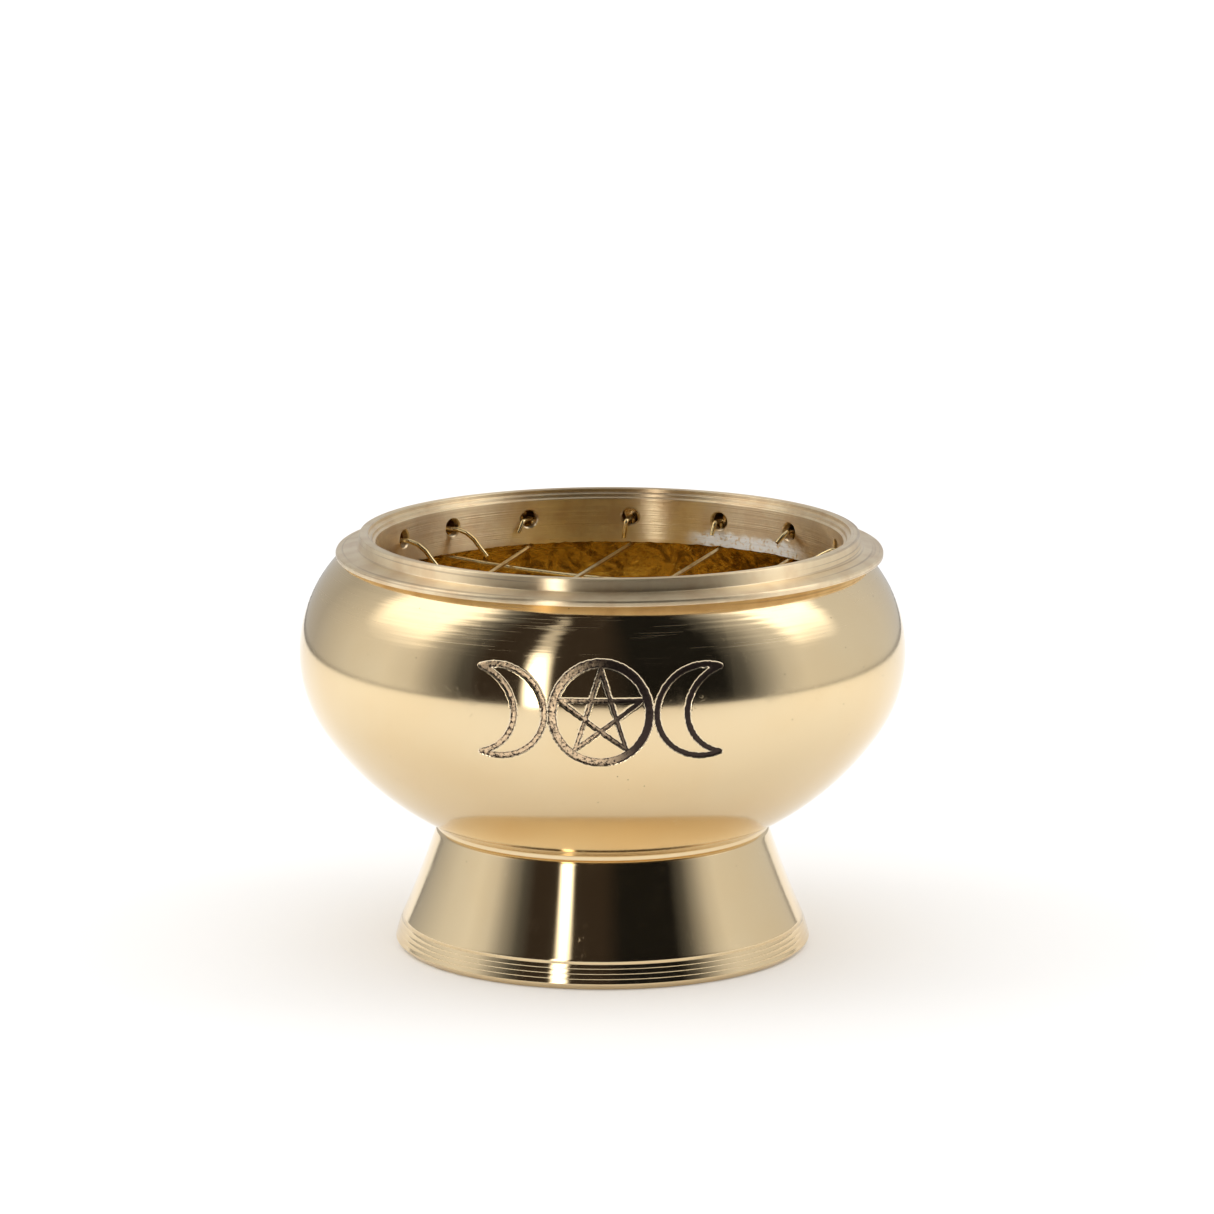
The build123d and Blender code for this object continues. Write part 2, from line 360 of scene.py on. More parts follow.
def foot_profile():
    """From the deck's hole, out under the deck, down the hollow, round the base and up the cone.
    The points before the first one on the floor are the hollow, left as it was cast."""
    start, end = Vector((BAND_TOP_R, BAND_TOP_Z)), Vector((NECK_R, NECK_Z - FOOT_TOP_EDGE))
    pull = 2 * Vector(FLARE_MIDDLE) - (start + end) / 2
    cone = [(p.x, p.y) for p in curve(start, pull, end, 24)]
    band = [(BAND_R, BAND_Z)]
    for share in (0.25, 0.5, 0.75):
        r = BAND_R + share * (BAND_TOP_R - BAND_R)
        z = BAND_Z + share * (BAND_TOP_Z - BAND_Z)
        band += [(r + outwards, z + up) for outwards, up in BAND_GROOVE]
    band += [(BAND_TOP_R, BAND_TOP_Z - 0.1 * MM), (BAND_TOP_R - 0.02 * MM, BAND_TOP_Z - 0.02 * MM)]
    base = rounded(
        [
            (SPIGOT_HOLE_R, NECK_Z),
            (SPIGOT_HOLE_R, DECK_Z),
            (DECK_R, DECK_Z),
            (FOOT_REST_R - FOOT_REST_W, 0.0),
            (FOOT_REST_R, 0.0),
            band[0],
            band[1],
        ],
        [0.1 * MM, 1.5 * MM, 0.3 * MM, 0.35 * MM, 0.25 * MM],
        steps=6,
    )
    top = rounded(
        [cone[-2], cone[-1], (NECK_R - FOOT_TOP_EDGE, NECK_Z), (SPIGOT_HOLE_R, NECK_Z)],
        [0.5 * MM, 0.12 * MM],
        steps=6,
    )
    outline = spaced(base[:-1] + band[1:] + cone[:-2] + top, FOOT_STEP)
    first_on_floor = [z for r, z in outline].index(0.0)
    return outline, range(first_on_floor)


foot_outline, foot_hidden = foot_profile()
foot = lathe("foot_casting", foot_outline, even_angles(300), cast=foot_hidden)
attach(foot, "burner")
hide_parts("foot")

# ---- screen collar -------------------------------------------------------------------------

RIM_INNER_R = 30.15 * MM
RIM_OUTER_R = 31.25 * MM
RIM_FOOT_R = 31.5 * MM
RIM_STEP_Z = 50.9 * MM
FLANGE_TOP_Z = 50.4 * MM
SKIRT_INNER_R = 29.25 * MM
SKIRT_OUTER_R = 30.2 * MM
THROAT_Z = 51.4 * MM
RELIEF_R = 31.3 * MM
RELIEF_Z = 50.15 * MM
COLLAR_STEP = 0.45 * MM
HOLE_R = 1.12 * MM
HOLE_Z = 49.0 * MM
HOLE_DEGREES = (
    (5.3, 28.8, 51.7, 77.0)
    + (99.0, 121.0, 143.0, 165.0, 187.0, 209.0, 231.0, 253.0, 275.0)
    + (297.0, 316.6, 339.2)
)


def outward(angle):
    """Unit vector from the screen's axis, turned from +Y towards +X."""
    return Vector((math.sin(angle), math.cos(angle), 0))


hole_angles = [math.radians(angle) for angle in HOLE_DEGREES]


def collar_profile():
    """The closed section: skirt, throat, rim, flange and the relief that sits on the lip."""
    corners = [
        (SKIRT_INNER_R, SKIRT_Z + 1 * MM),
        (SKIRT_INNER_R, THROAT_Z),
        (SKIRT_INNER_R + 0.35 * MM, THROAT_Z + 0.12 * MM),
        (SKIRT_INNER_R + 0.42 * MM, THROAT_Z + 0.5 * MM),
        (RIM_INNER_R, THROAT_Z + 0.62 * MM),
        (RIM_INNER_R, RIM_TOP_Z),
        (RIM_OUTER_R, RIM_TOP_Z),
        (RIM_FOOT_R, RIM_STEP_Z),
        (FLANGE_R - 0.12 * MM, FLANGE_TOP_Z),
        (FLANGE_R, FLANGE_TOP_Z - 0.25 * MM),
        (FLANGE_R, LIP_Z),
        (RELIEF_R, LIP_Z),
        (RELIEF_R, RELIEF_Z),
        (SKIRT_OUTER_R, RELIEF_Z),
        (SKIRT_OUTER_R, SKIRT_Z),
        (SKIRT_INNER_R, SKIRT_Z),
        (SKIRT_INNER_R, SKIRT_Z + 1 * MM),
    ]
    radii = [0.1, 0.08, 0.08, 0.08, 0.12, 0.14, 0.22, 0.2, 0.2, 0.16, 0.05, 0.1, 0.1, 0.18, 0.1]
    return spaced(rounded(corners, [r * MM for r in radii]), COLLAR_STEP)[:-1]


def skin(bm, loops):
    """Joins a row of equal loops of vertices into a closed tube."""
    sides = len(loops[0])
    for a, b in zip(loops, loops[1:]):
        for k in range(sides):
            bm.faces.new([a[k], a[(k + 1) % sides], b[(k + 1) % sides], b[k]])
    bm.faces.new(loops[0][::-1])
    bm.faces.new(loops[-1])


def linked(name, bm):
    """The bmesh as an object in the scene, its faces turned outwards."""
    bmesh.ops.recalc_face_normals(bm, faces=bm.faces)
    mesh = bpy.data.meshes.new(name)
    bm.to_mesh(mesh)
    bm.free()
    made = bpy.data.objects.new(name, mesh)
    bpy.context.scene.collection.objects.link(made)
    return made


HOLE_SIDES = 40
HOLE_STATIONS = (  # (from the axis, radius): the inner edge is broken
    (SKIRT_INNER_R - 0.6 * MM, HOLE_R + 0.75 * MM),
    (SKIRT_INNER_R + 0.15 * MM, HOLE_R),
    (SKIRT_OUTER_R + 0.6 * MM, HOLE_R),
)
HOLE_CENTRE = Vector((SCREEN_X, 0, HOLE_Z))


def drilled(piece):
    """Cuts the screen's holes through the skirt."""
    bm = bmesh.new()
    for angle in hole_angles:
        along = outward(angle)
        side = along.cross(Vector((0, 0, 1)))
        loops = []
        for s, r in HOLE_STATIONS:
            loop = []
            for k in range(HOLE_SIDES):
                turn = TURN * k / HOLE_SIDES
                up = Vector((0, 0, r * math.sin(turn)))
                loop.append(bm.verts.new(HOLE_CENTRE + along * s + side * r * math.cos(turn) + up))
            loops.append(loop)
        skin(bm, loops)
    cutter = linked("cutters", bm)
    cut = piece.modifiers.new("holes", "BOOLEAN")
    cut.operation = "DIFFERENCE"
    cut.solver = "EXACT"
    cut.object = cutter
    bpy.context.view_layer.update()
    done = bpy.data.meshes.new_from_object(piece.evaluated_get(bpy.context.evaluated_depsgraph_get()))
    piece.modifiers.clear()
    piece.data = done
    bpy.data.objects.remove(cutter)
    piece.data.shade_smooth()
    piece.data.set_sharp_from_angle(angle=math.radians(28))


def worn_edge(piece):
    """Nicks along the skirt's lower edge, which was left as it was cut."""
    for vertex in piece.data.vertices:
        low = 1 - (vertex.co.z - SKIRT_Z) / (0.3 * MM)
        if low > 0:
            nick = noise.noise(vertex.co * 700) + 0.6 * noise.noise(vertex.co * 1900)
            vertex.co.z += low * max(0.0, nick) * 0.2 * MM


collar = lathe("collar_ring", collar_profile(), even_angles(480), centre_x=SCREEN_X, closed=True)
drilled(collar)
worn_edge(collar)
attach(collar, "screen")
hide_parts("screen_collar")

# ---- wires ---------------------------------------------------------------------------------

WIRE_R = 0.3 * MM
WIRE_LOW_Z = SKIRT_Z - WIRE_R - 0.04 * MM
WIRE_OUTSIDE_R = SKIRT_OUTER_R + WIRE_R + 0.04 * MM
WIRE_RISE = 0.1 * MM
WIRE_CORNER = 0.55 * MM
WIRE_STEP = 0.5 * MM
TOO_CLOSE = 1e-6
UNDER_SAG = 1.9 * MM


def wire_route(near, far, sag, near_end, far_end):
    """Corners of one wire. An end is a list of (past the skirt, up from the hole, aside)."""
    start = outward(hole_angles[near]) * SKIRT_INNER_R
    end = outward(hole_angles[far]) * SKIRT_INNER_R
    middle = (start + end) / 2
    along = (end - start).normalized()
    aside = along.cross(Vector((0, 0, 1)))
    inside_s = math.sqrt(SKIRT_INNER_R**2 - middle.length_squared)
    outside_s = math.sqrt(WIRE_OUTSIDE_R**2 - middle.length_squared)

    def place(s, z, side=0.0):
        """Point at s along the wire's own line from its middle."""
        return Vector((SCREEN_X, 0, z)) + middle + along * s + aside * side

    def hooked(sign, end_points):
        """One end: the bends inside the skirt, then down its outer face."""
        tip = [
            place(sign * (inside_s - reach * MM), HOLE_Z + up * MM, side * MM)
            for reach, up, side in end_points
        ]
        skirt = [
            place(sign * outside_s, HOLE_Z - WIRE_RISE),
            place(sign * outside_s, WIRE_LOW_Z),
        ]
        return tip + skirt

    hanging = [
        place(share * outside_s, WIRE_LOW_Z - sag * (1 - share**2))
        for share in (-0.8, -0.6, -0.4, -0.2, 0, 0.2, 0.4, 0.6, 0.8)
    ]
    return hooked(-1, near_end) + hanging + hooked(1, far_end)[::-1]


def bent(corners, radius):
    """The route in short steps, with every corner turned on an arc of about this radius."""
    points = [corners[0]]
    for before, here, after in zip(corners, corners[1:], corners[2:]):
        a, b = before - here, after - here
        half = a.angle(b) / 2
        reach = min(radius / math.tan(half), 0.48 * a.length, 0.48 * b.length)
        start = here + a.normalized() * reach
        end = here + b.normalized() * reach
        points += curve(start, here, end, 8)
    points.append(corners[-1])
    fine = [points[0]]
    for a, b in zip(points, points[1:]):
        steps = max(1, math.ceil((b - a).length / WIRE_STEP))
        fine += [a.lerp(b, k / steps) for k in range(1, steps + 1)]
    return [p for p, q in zip(fine, fine[1:]) if (q - p).length > TOO_CLOSE] + [fine[-1]]


def tube(name, points, radius, sides=12):
    """A round wire swept without twist, its cut ends slightly rounded."""
    bm = bmesh.new()
    side = Vector((0.3, 0.2, 1)).normalized()
    loops = []
    last = len(points) - 1
    for i, p in enumerate(points):
        ahead = (points[min(i + 1, last)] - points[max(i - 1, 0)]).normalized()
        side = (side - ahead * side.dot(ahead)).normalized()
        other = ahead.cross(side)
        wide = radius * (0.82 if i in (0, last) else 1)
        loop = []
        for k in range(sides):
            turn = TURN * k / sides
            loop.append(bm.verts.new(p + side * wide * math.cos(turn) + other * wide * math.sin(turn)))
        loops.append(loop)
    skin(bm, loops)
    piece = linked(name, bm)
    piece.data.shade_smooth()
    piece.data.set_sharp_from_angle(angle=math.radians(50))
    return piece


# Bent ends of the wires, in mm: past the skirt's inner face, up from the hole, and aside.
ELBOW = (0.55, 0.1, 0)
SHORT = [(1.15, -1.4, 0.25), ELBOW]
BENT = [(1.6, -1.6, -1.0), (0.8, -0.2, -0.6)]
DOWN = [(0.95, -2.7, -0.6), (0.75, -0.5, -0.35)]
ASIDE = [(1.15, -1.7, -0.6), (0.6, -0.1, -0.3)]
FLAT = [(2.0, -1.15, -1.0), (1.2, -0.3, -0.4), ELBOW]
LONG = [(3.5, -1.9, 0), (1.5, -0.7, 0), (0.5, -0.2, 0)]
TAIL = [(4.5, -3.6, 0.3), (3.6, -2.5, 0.2), (2.8, -1.4, 0.1), (1.8, -0.6, 0), (0.6, -0.2, 0)]
WIRES = {  # node: hole at each end, counted from the back, sag, and each end's bends
    "screen_wire_over_1": (10, 15, 0, SHORT, BENT),
    "screen_wire_over_2": (9, 0, 0, SHORT, DOWN),
    "screen_wire_over_3": (8, 1, 0, SHORT, ASIDE),
    "screen_wire_over_4": (7, 2, 0, SHORT, FLAT),
    "screen_wire_under_1": (3, 14, UNDER_SAG, LONG, TAIL),
    "screen_wire_under_2": (4, 13, UNDER_SAG, SHORT, TAIL),
    "screen_wire_under_3": (5, 12, UNDER_SAG, SHORT, SHORT),
    "screen_wire_under_4": (6, 11, UNDER_SAG, SHORT, SHORT),
}

wires = []
for wire_name, (near, far, sag, near_end, far_end) in WIRES.items():
    route = bent(wire_route(near, far, sag, near_end, far_end), WIRE_CORNER)
    wire = tube(wire_name.replace("screen_wire", "wire"), route, WIRE_R)
    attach(wire, "screen")
    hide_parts(wire_name)
    wires.append(wire)

# ---- materials -----------------------------------------------------------------------------


class Graph:
    """Short calls for building a node tree."""

    def __init__(self, tree):
        self.tree = tree
        tree.nodes.clear()

    def add(self, kind, inputs=None, **settings):
        """A node with its settings. Each input is a socket to link or a value to set."""
        made = self.tree.nodes.new(kind)
        for key, value in settings.items():
            setattr(made, key, value)
        for key, value in (inputs or {}).items():
            if isinstance(value, bpy.types.NodeSocket):
                self.tree.links.new(value, made.inputs[key])
            else:
                made.inputs[key].default_value = value
        return made

    def math(self, operation, a, b=0.0, clamp=False):
        made = self.add("ShaderNodeMath", {0: a, 1: b}, operation=operation, use_clamp=clamp)
        return made.outputs[0]

    def product(self, first, *others):
        for value in others:
            first = self.math("MULTIPLY", first, value)
        return first

    def total(self, start, *parts):
        """start and every (value, weight) added up."""
        for value, weight in parts:
            start = self.math("ADD", start, self.math("MULTIPLY", value, weight))
        return start

    def vector(self, x, y, z):
        return self.add("ShaderNodeCombineXYZ", {0: x, 1: y, 2: z}).outputs[0]

    def split(self, vector):
        return self.add("ShaderNodeSeparateXYZ", {0: vector}).outputs

    def attribute(self, name):
        return self.add("ShaderNodeAttribute", attribute_name=name).outputs["Fac"]

    def coordinates(self, kind="Object"):
        return self.add("ShaderNodeTexCoord").outputs[kind]

    def band(self, value, low, high, start=0.0, end=1.0):
        """A smooth step from start, at low, to end, at high."""
        inputs = {"Value": value, "From Min": low, "From Max": high, "To Min": start, "To Max": end}
        made = self.add("ShaderNodeMapRange", inputs, interpolation_type="SMOOTHSTEP")
        return made.outputs[0]

    def mix(self, share, a, b):
        made = self.add("ShaderNodeMix", {0: share, 6: a, 7: b}, data_type="RGBA")
        return made.outputs[2]

    def noise(self, vector, scale, detail=2.0, rough=0.5, twist=0.0):
        inputs = {
            "Vector": vector,
            "Scale": scale,
            "Detail": detail,
            "Roughness": rough,
            "Distortion": twist,
        }
        return self.add("ShaderNodeTexNoise", inputs).outputs[0]

    def ramp(self, value, stops):
        """A colour ramp through (place, colour or grey) stops."""
        made = self.add("ShaderNodeValToRGB", {0: value})
        marks = made.color_ramp.elements
        marks[0].position, marks[1].position = stops[0][0], stops[-1][0]
        marks[0].color, marks[1].color = rgba(stops[0][1]), rgba(stops[-1][1])
        for place, colour in stops[1:-1]:
            marks.new(place).color = rgba(colour)
        return made.outputs[0]

    def bump(self, height):
        """Normal for a height in micrometres."""
        inputs = {"Height": height, "Distance": 1e-6, "Strength": 1.0}
        return self.add("ShaderNodeBump", inputs).outputs[0]


def rgba(colour):
    """A grey or a colour as a node socket takes it."""
    if isinstance(colour, (int, float)):
        return (colour, colour, colour, 1)
    return (*colour, 1)


def new_material(name):
    """A material and the Graph of its emptied node tree."""
    made = bpy.data.materials.new(name)
    made.use_nodes = True
    return made, Graph(made.node_tree)


def lathe_place(g, centre_x, use_along):
    """Object position, unit vector round the axis, radius, and distance along the profile."""
    here = g.coordinates()
    x, y, z = g.split(here)
    x = g.math("SUBTRACT", x, centre_x)
    flat = g.add("ShaderNodeVectorMath", {0: g.vector(x, y, 0.0)}, operation="NORMALIZE")
    round_x, round_y, _ = g.split(flat.outputs[0])
    length = g.add("ShaderNodeVectorMath", {0: g.vector(x, y, 0.0)}, operation="LENGTH")
    radius = length.outputs["Value"]
    along = g.attribute("along") if use_along else g.total(z, (radius, 0.618))
    return here, x, z, (round_x, round_y), radius, along


def tool_lines(g, around, along, wavelength, reach, detail=2.0):
    """Noise drawn out round the axis, like the lines that a lathe tool leaves."""
    stretched = g.vector(
        g.math("MULTIPLY", around[0], 1 / reach),
        g.math("MULTIPLY", around[1], 1 / reach),
        g.math("MULTIPLY", along, 1 / wavelength),
    )
    return g.noise(stretched, 1.0, detail)


def finish_metal(g, colour, roughness, normal, anisotropic, metallic=1.0, turned=True):
    """The Principled shader that ends every brass, its gloss drawn out round Z where turned."""
    inputs = {
        "Base Color": colour,
        "Roughness": roughness,
        "Metallic": metallic,
        "Normal": normal,
        "Anisotropic": anisotropic,
        "Anisotropic Rotation": 0.25,
    }
    if turned:
        inputs["Tangent"] = g.add("ShaderNodeTangent", direction_type="RADIAL", axis="Z").outputs[0]
    shader = g.add("ShaderNodeBsdfPrincipled", inputs)
    g.add("ShaderNodeOutputMaterial", {"Surface": shader.outputs[0]})


BRASS = (0.80, 0.64, 0.40, 1)
BRASS_WARM = (0.79, 0.61, 0.36, 1)
CAST_BRASS = (0.93, 0.69, 0.24, 1)
# dark scale of the cast inside, also used as painted shade near the bowl's mouth
CAST_SCALE_AND_PAINTED_SHADE = (0.20, 0.10, 0.03, 1)
PITCH = (0.03, 0.02, 0.012, 1)
PATINA_DARK = (0.05, 0.034, 0.028, 1)
# lit patina: painted light on the emblem's left side
PATINA_PAINTED_LIT = (0.82, 0.61, 0.39, 1)
PAINTED_EDGE_GLINT = (0.95, 0.84, 0.66, 1)
TURNED_BRASS = (0.93, 0.77, 0.52, 1)
TURNED_WARM = (0.82, 0.63, 0.40, 1)
TOOL_LINE = (0.36, 0.25, 0.16, 1)
ASH = (0.88, 0.85, 0.80, 1)
WIRE_BRASS = (0.94, 0.76, 0.42, 1)
WIRE_TARNISH = (0.66, 0.45, 0.18, 1)


def polished_brass(name, engraved, worn):
    """Buffed brass. worn is the share of fine turned scratches that the buffing left."""
    material, g = new_material(name)
    here, x, z, around, radius, along = lathe_place(g, 0.0, True)
    hidden = g.attribute("rough_cast")
    upper = g.band(z, 42 * MM, 45 * MM, 0.03, 1.0)

    cells = g.add("ShaderNodeTexVoronoi", {"Vector": here, "Scale": 420.0}, feature="F1").outputs[0]
    pits = g.band(cells, 0.045, 0.02)
    cloud = g.noise(here, 55.0, 3.0, 0.6)
    colour = g.mix(g.band(cloud, 0.35, 0.75), BRASS, BRASS_WARM)
    colour = g.mix(g.math("MULTIPLY", pits, 0.8), colour, PITCH)
    scale = g.band(g.noise(here, 340.0, 5.0, 0.7, 0.8), 0.46, 0.62)
    # Above 44.5 mm the cast inside turns fully to the scale colour: painted shade under the collar,
    # not scale.
    scale = g.math("MAXIMUM", g.math("MULTIPLY", scale, 0.75), g.band(z, 44.5 * MM, 47.0 * MM))
    colour = g.mix(hidden, colour, g.mix(scale, CAST_BRASS, CAST_SCALE_AND_PAINTED_SHADE))

    scratched = tool_lines(g, around, along, 0.11 * MM, 0.35, 1.0)
    scratched = g.math("MULTIPLY", g.band(scratched, 0.72 - worn, 0.76 - worn), upper)
    smudge = g.noise(here, 190.0, 4.0, 0.65, 1.2)
    curl = g.math("ABSOLUTE", g.math("SUBTRACT", g.noise(here, 620.0, 1.0, 0.5, 1.6), 0.5))
    patch = g.band(g.noise(here, 350.0, 1.0), 0.62, 0.66)
    hair = g.math("MULTIPLY", g.band(curl, 0.012, 0.004), patch)
    smeared = g.band(smudge, 0.52, 0.8)
    roughness = g.total(0.09, (scratched, 0.2), (smeared, 0.05), (hidden, 0.05), (hair, 0.16))

    coarse = tool_lines(g, around, along, 1.3 * MM, 0.9)
    streaks = tool_lines(g, around, along, 0.6 * MM, 0.5)
    fine = tool_lines(g, around, along, 0.16 * MM, 0.25)
    grain = g.noise(here, 3800.0, 2.0)
    lumps = g.math("MULTIPLY", hidden, g.noise(here, 640.0, 4.0, 0.6))
    height = g.total(g.math("MULTIPLY", coarse, 55.0), (streaks, 14.0))
    height = g.math("MULTIPLY", height, g.math("MULTIPLY", upper, g.math("SUBTRACT", 1.0, hidden)))
    height = g.total(height, (fine, 0.3), (grain, 0.12), (pits, -6.0), (lumps, 330.0))

    metallic = 1.0
    if engraved:
        edge = g.attribute("line_distance")
        inside = g.band(edge, 0.03, -0.04)
        # rim: painted highlight along the edges of the engraved lines; it also makes them a little
        # rougher
        rim = g.math("MULTIPLY", g.band(edge, 0.14, 0.05), g.band(edge, -0.03, 0.02))
        mottle = g.noise(here, 2600.0, 4.0, 0.7)
        # The dark patina in the lines is the brass's own. Its lighter, mottled look on the left is
        # painted light from the strip light, fading out towards the right.
        side = g.band(g.total(x, (z, 0.25)), 6.5 * MM, 12.5 * MM)
        outline = g.math("MULTIPLY", g.band(edge, -0.2, -0.12), g.band(mottle, 0.62, 0.45))
        light = g.band(mottle, 0.36, 0.52)
        light = g.math("MULTIPLY", light, g.math("SUBTRACT", 1.0, side), clamp=True)
        light = g.math("SUBTRACT", light, outline, clamp=True)
        colour = g.mix(inside, colour, g.mix(light, PATINA_DARK, PATINA_PAINTED_LIT))
        colour = g.mix(g.math("MULTIPLY", rim, 0.5), colour, PAINTED_EDGE_GLINT)
        roughness = g.total(roughness, (inside, 0.24), (rim, 0.1))
        height = g.total(height, (g.math("MULTIPLY", inside, mottle), 40.0))
        metallic = g.total(1.0, (inside, -0.15))
    finish_metal(g, colour, roughness, g.bump(height), 0.85, metallic)
    return material


def turned_brass(name):
    """Brass as the lathe left it, ridged inside the skirt, with ash low on the skirt's back."""
    material, g = new_material(name)
    here, x, z, around, radius, along = lathe_place(g, SCREEN_X, False)
    wall = g.band(radius, 29.7 * MM, 29.3 * MM)

    smudge = g.noise(here, 240.0, 3.0, 0.6)
    colour = g.mix(g.band(smudge, 0.35, 0.7), TURNED_BRASS, TURNED_WARM)
    lines = tool_lines(g, around, along, 0.3 * MM, 1.5, 1.0)
    lines = g.math("MULTIPLY", g.band(lines, 0.58, 0.68, 0.0, 0.45), g.math("SUBTRACT", 1.0, wall))
    colour = g.mix(lines, colour, TOOL_LINE)
    ragged = g.total(z, (g.noise(here, 700.0, 3.0), 2 * MM))
    ashen = g.product(
        g.band(x, 9 * MM, 13 * MM),
        g.band(x, 26 * MM, 22 * MM),
        wall,
        g.band(around[1], 0.0, 0.3),
        g.band(ragged, 48.9 * MM, 47.9 * MM),
        g.band(g.noise(here, 2600.0, 3.0), 0.34, 0.48),
    )
    colour = g.mix(ashen, colour, ASH)

    fine = tool_lines(g, around, along, 0.09 * MM, 0.3)
    roughness = g.total(0.24, (wall, -0.02), (fine, 0.12), (smudge, 0.06), (ashen, 0.25))

    coarse = tool_lines(g, around, along, 0.5 * MM, 0.8)
    ridges = tool_lines(g, around, along, 0.15 * MM, 0.6, 1.0)
    grain = g.noise(here, 4200.0, 2.0)
    height = g.math("MULTIPLY", coarse, g.total(5.0, (wall, 9.0)))
    height = g.total(height, (ridges, g.total(4.0, (wall, 34.0))), (fine, 1.2), (grain, 0.3))
    metallic = g.total(1.0, (ashen, -0.8))
    finish_metal(g, colour, roughness, g.bump(height), 1.0, metallic)
    return material


def drawn_brass(name):
    """Wire, tarnished in patches."""
    material, g = new_material(name)
    here = g.coordinates()
    tarnish = g.noise(here, 420.0, 4.0, 0.65)
    grain = g.noise(here, 3000.0, 3.0, 0.6)
    colour = g.mix(g.band(tarnish, 0.4, 0.75), WIRE_BRASS, WIRE_TARNISH)
    roughness = g.total(0.16, (grain, 0.16))
    finish_metal(g, colour, roughness, g.bump(g.math("MULTIPLY", grain, 8.0)), 0.0, turned=False)
    return material


bowl.data.materials.append(polished_brass("polished_brass_bowl", True, 0.06))
foot.data.materials.append(polished_brass("polished_brass_foot", False, 0.015))
collar.data.materials.clear()
collar.data.materials.append(turned_brass("turned_brass"))
wire_brass = drawn_brass("drawn_brass")
for wire in wires:
    wire.data.materials.append(wire_brass)

# ---- studio --------------------------------------------------------------------------------

# Sizes in metres. The lamps, cards and camera aim at a point inside the bowl.
AIM = Vector((0.56 * MM, 0, 42.85 * MM))
CAMERA_BACK = 0.8
CAMERA_UP = 0.203
CAMERA_LENS = 193
FLOOR_R = 3.0
STUDIO_R = 0.30
STUDIO_H = 1.25
LAMP_AWAY = 0.29
LAMP_SHARE = 0.62  # of a softbox front's radiance, given off by the lamp behind it
FRONT_GAP = 0.005
STRIP_AZIMUTH = -23.5
STRIP_HALF_WIDTH = 0.031
STRIP_H = 0.62
STRIP_GLOW = (1, 0.97, 0.92, 1)
SOFTBOX_GLOW = (1.0, 0.98, 0.95, 1)


def studio_mesh(name, verts, faces):
    """A linked mesh that isn't part of the object."""
    mesh = bpy.data.meshes.new(name)
    mesh.from_pydata(verts, [], faces)
    made = bpy.data.objects.new(name, mesh)
    bpy.context.scene.collection.objects.link(made)
    return made


def only_reflected(made):
    """Seen in the brass and nowhere else: it neither lights nor shades anything."""
    made.visible_camera = False
    made.visible_diffuse = False
    made.visible_shadow = False
    made.visible_transmission = False
    made.visible_volume_scatter = False


def floor():
    """Plain pale floor: painted shade darkens and warms it towards the camera; a little painted glow
    at the back.
    """
    turns = even_angles(64)
    rim = [(FLOOR_R * math.sin(turn), FLOOR_R * math.cos(turn), 0) for turn in turns]
    made = studio_mesh("floor", rim, [tuple(range(len(rim)))])
    material, g = new_material("pale_floor")
    here = g.coordinates()
    x, y, z = g.split(here)
    colour = g.mix(g.noise(here, 3.0, 2.0), (0.88, 0.875, 0.87, 1), (0.9, 0.895, 0.89, 1))
    # painted shade: the floor turns darker and warmer towards the camera
    colour = g.mix(g.band(y, -0.1, -0.32), colour, (0.80, 0.76, 0.72, 1))
    inputs = {
        "Base Color": colour,
        "Roughness": 0.9,
        "Specular IOR Level": 0.0,
        "Emission Color": (1, 1, 1, 1),
        "Emission Strength": g.band(y, 0.0, 0.8, 0.05, 0.35),
    }
    shader = g.add("ShaderNodeBsdfPrincipled", inputs)
    g.add("ShaderNodeOutputMaterial", {"Surface": shader.outputs[0]})
    made.data.materials.append(material)


WARM_DARK = (0.035, 0.026, 0.02)
CARD_SHADES = [  # (azimuth from the camera in degrees, grey or colour)
    (-180, 0.55),
    (-165, 0.55),
    (-150, 0.50),
    (-135, 0.47),
    (-105, 0.78),
    (-85, 0.88),
    (-72, 0.74),
    (-62, 0.34),
    (-52, 0.09),
    (-44, WARM_DARK),
    (0, WARM_DARK),
    (12, 0.008),
    (44, 0.008),
    (53, 0.11),
    (61, 0.36),
    (69, 0.66),
    (78, 0.82),
    (130, 0.72),
    (150, 0.62),
    (180, 0.55),
]


def studio_wall():
    """Card that stands round the object, dark towards the camera, pale at the sides and back."""
    count = 96
    verts, faces = [], []
    for k in range(count + 1):
        angle = TURN * k / count
        x, y = STUDIO_R * math.sin(angle), STUDIO_R * math.cos(angle)
        verts += [(x, y, 0.0), (x, y, STUDIO_H)]
        if k < count:
            faces.append((2 * k, 2 * k + 1, 2 * k + 3, 2 * k + 2))
    made = studio_mesh("studio_wall", verts, faces)
    only_reflected(made)
    material, g = new_material("studio_card")
    x, y, z = g.split(g.coordinates())
    azimuth = g.math("ARCTAN2", x, g.math("MULTIPLY", y, -1.0))
    inputs = {"Value": azimuth, "From Min": -math.pi, "From Max": math.pi}
    turn = g.add("ShaderNodeMapRange", inputs).outputs[0]
    shade = g.ramp(turn, [((degrees + 180) / 360, colour) for degrees, colour in CARD_SHADES])
    # painted contact shade: the card glows less at its foot, where it meets the floor
    edge = g.band(z, 0.0, 0.012, 0.35, 1.0)
    shader = g.add("ShaderNodeEmission", {"Color": shade, "Strength": edge})
    g.add("ShaderNodeOutputMaterial", {"Surface": shader.outputs[0]})
    made.data.materials.append(material)


